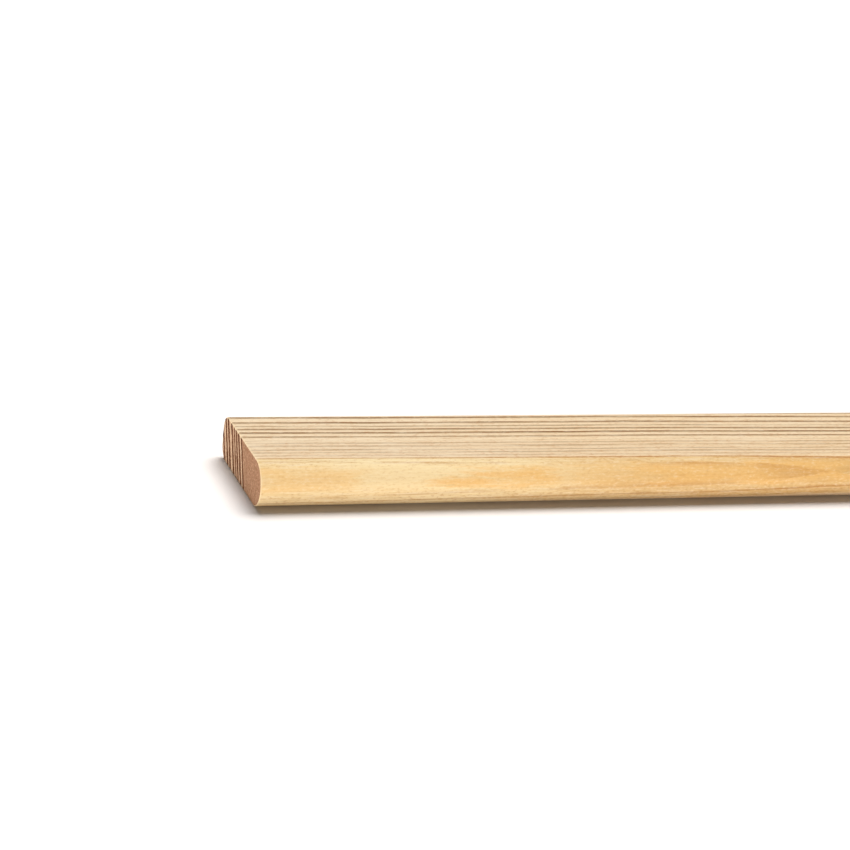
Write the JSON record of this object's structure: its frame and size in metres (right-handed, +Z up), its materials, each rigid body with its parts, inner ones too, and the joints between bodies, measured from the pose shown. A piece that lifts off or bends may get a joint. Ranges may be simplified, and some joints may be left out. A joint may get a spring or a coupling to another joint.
{
  "type": "wood edge strip",
  "caption": "Planed softwood edge strip with a half-round front edge and softened back corners, cut square at both ends.",
  "frame": {"origin": "middle of the underside, where the strip rests", "axes": "+X along the strip and the grain, -Y towards the half-round front edge, +Z up out of the top face"},
  "size_m": [1, 0.03, 0.009],
  "materials": {
    "wood": "planed bare softwood, straight grained and satin, with fine growth rings along the top face and darker sawn end grain"
  },
  "bodies": {
    "root": {"edge_strip": "wood"}
  },
  "joints": []
}
